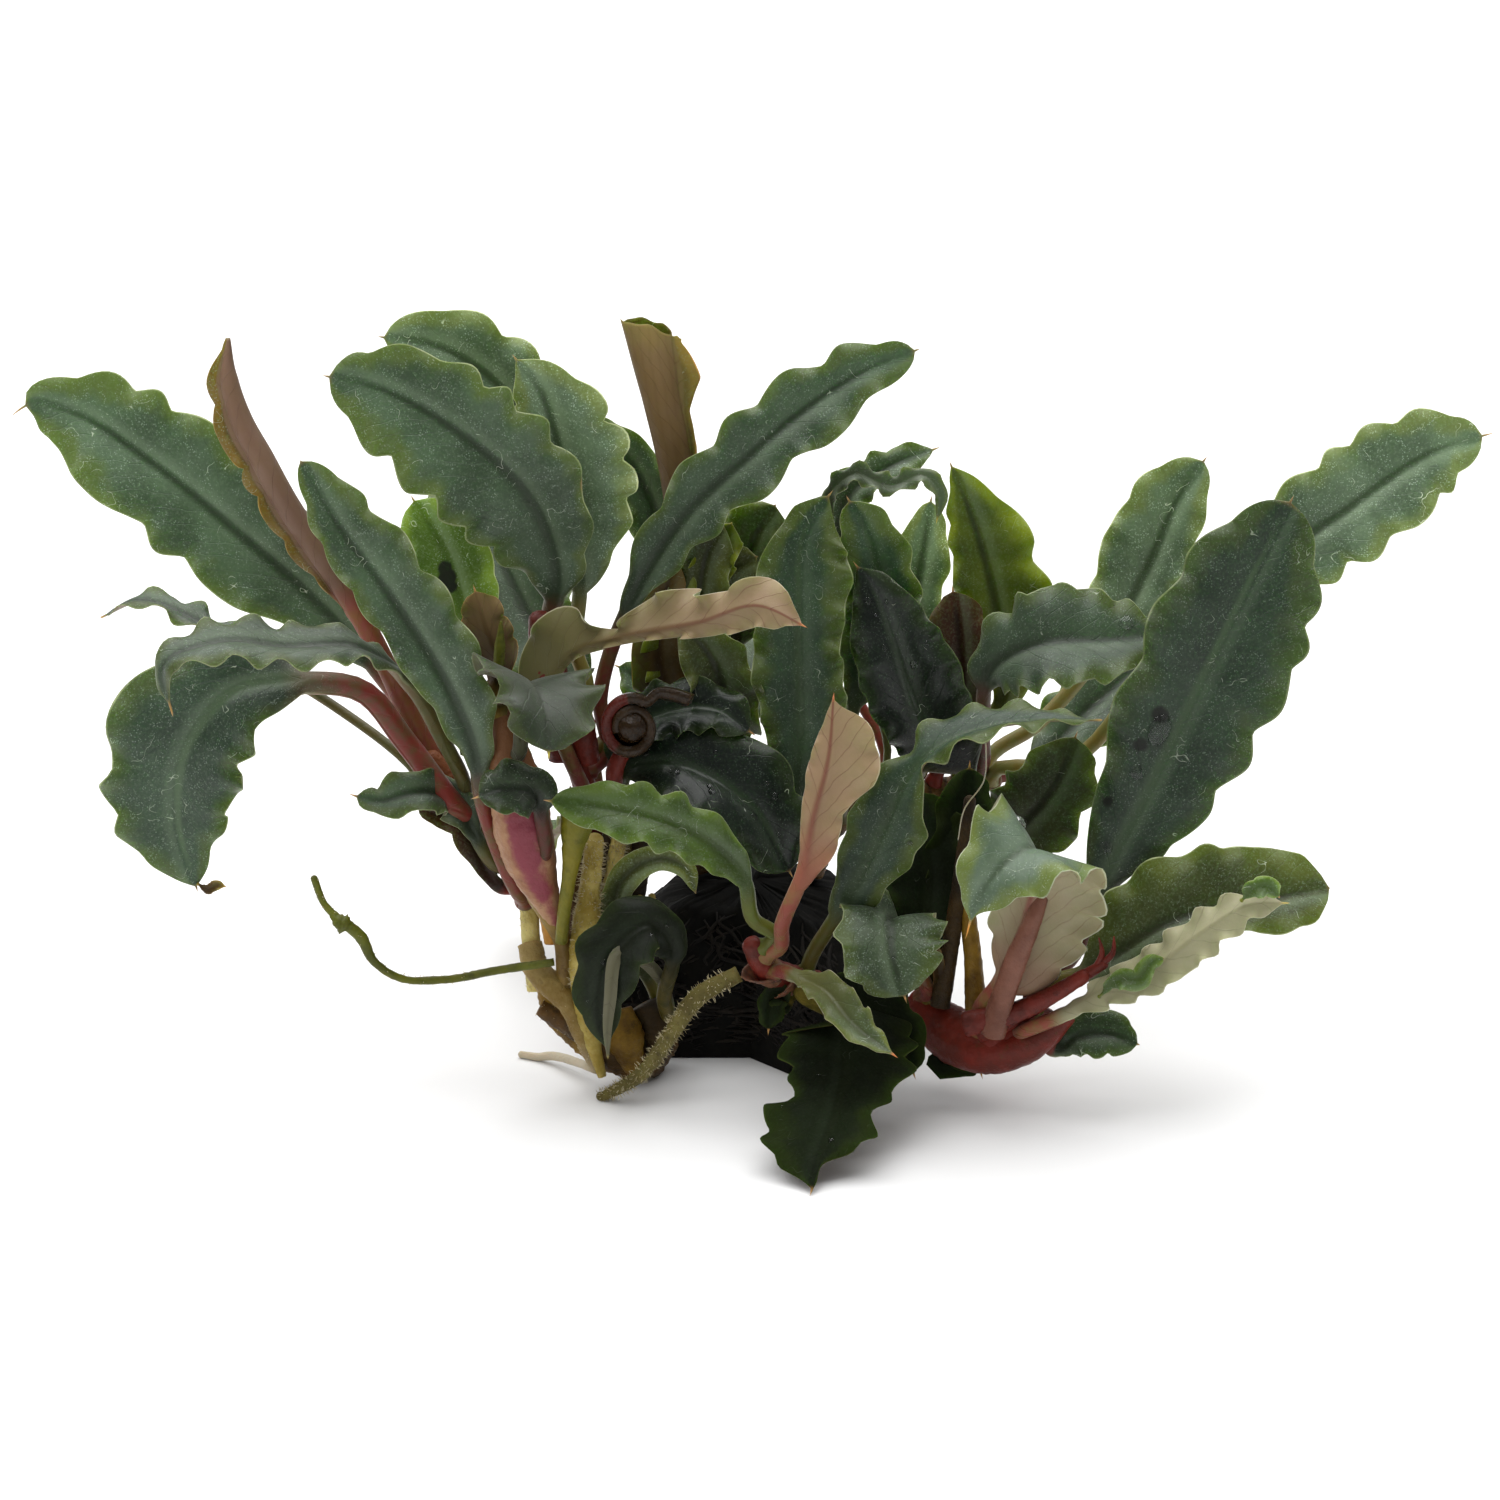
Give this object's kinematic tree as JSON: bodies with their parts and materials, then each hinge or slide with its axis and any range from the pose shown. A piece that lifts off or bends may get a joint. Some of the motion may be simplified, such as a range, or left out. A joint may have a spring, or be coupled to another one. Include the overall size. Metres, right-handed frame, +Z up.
{
  "type": "bucephalandra plant clump",
  "caption": "Clump of a small broad-leaved aquarium plant: wavy dark green leaves on short red stems, above a root mat cut flat to rest on.",
  "frame": {"origin": "middle of the root mat's flat underside", "axes": "+Z up, the front of the plant looks along -Y, the widest spread of leaves runs along X"},
  "size_m": [0.1475, 0.077, 0.0755],
  "materials": {
    "leaf_green": "satin, finely speckled",
    "leaf_blue_green": "satin, finely speckled, wavy pale rim",
    "leaf_olive": "satin",
    "leaf_bright": "satin",
    "leaf_black_green": "wet gloss",
    "leaf_underside": "matt with a red-brown midrib and fine veins",
    "leaf_brown": "satin",
    "leaf_pink_brown": "satin with an ochre margin",
    "stem_red": "smooth, slightly glossy",
    "root_yellow": "matt, finely hairy",
    "root_black": "matt, fibrous",
    "water": "clear drops"
  },
  "bodies": {
    "root": {"aerial_root": "leaf_olive", "bud_curled_red": "stem_red", "leaf_back_light": "leaf_bright", "leaf_back_narrow": "leaf_green", "leaf_behind_left": "leaf_green", "leaf_behind_low": "leaf_green", "leaf_behind_middle": "leaf_green", "leaf_behind_right": "leaf_green", "leaf_blue_black": "leaf_black_green", "leaf_bright_back": "leaf_bright", "leaf_brown_folded": "leaf_brown", "leaf_brown_rolled": "leaf_brown", "leaf_brown_round": "leaf_brown", "leaf_centre_folded": "leaf_olive", "leaf_centre_long": "leaf_blue_green", "leaf_dark_hooked": "leaf_black_green", "leaf_dark_olive": "leaf_olive", "leaf_dark_small": "leaf_black_green", "leaf_far_left_narrow": "leaf_green", "leaf_far_right": "leaf_olive", "leaf_front_arched": "leaf_bright", "leaf_front_narrow": "leaf_blue_green", "leaf_front_pale_drooping": "leaf_green", "leaf_front_twisted": "leaf_blue_green", "leaf_glossy_dark": "leaf_black_green", "leaf_grey_arched": "leaf_green", "leaf_grey_drooping": "leaf_green", "leaf_left_arched": "leaf_green", "leaf_left_broad": "leaf_blue_green", "leaf_left_drooping": "leaf_blue_green", "leaf_left_rolled": "leaf_pink_brown", "leaf_left_small_curled": "leaf_green", "leaf_lowest": "leaf_black_green", "leaf_olive_behind": "leaf_olive", "leaf_olive_cup": "leaf_olive", "leaf_olive_right": "leaf_olive", "leaf_olive_upright": "leaf_olive", "leaf_pale_reaching": "leaf_underside", "leaf_pale_strip": "leaf_underside", "leaf_pale_upright": "leaf_underside", "leaf_right_crinkled": "leaf_underside", "leaf_right_folded": "leaf_blue_green", "leaf_right_great": "leaf_green", "leaf_right_level": "leaf_blue_green", "leaf_right_low_round": "leaf_green", "leaf_right_upright": "leaf_blue_green", "leaf_small_oval": "leaf_green", "leaf_tall_back": "leaf_green", "leaf_tall_broad": "leaf_blue_green", "leaf_tall_right": "leaf_blue_green", "rhizome": "leaf_brown", "root_front": "root_yellow", "root_mat": "root_black", "stem_back": "root_yellow", "stem_dark_red": "stem_red", "stem_front": "stem_red", "stem_left": "root_yellow", "stem_middle": "root_yellow", "stem_pink": "stem_red", "stem_right": "stem_red"}
  },
  "joints": []
}
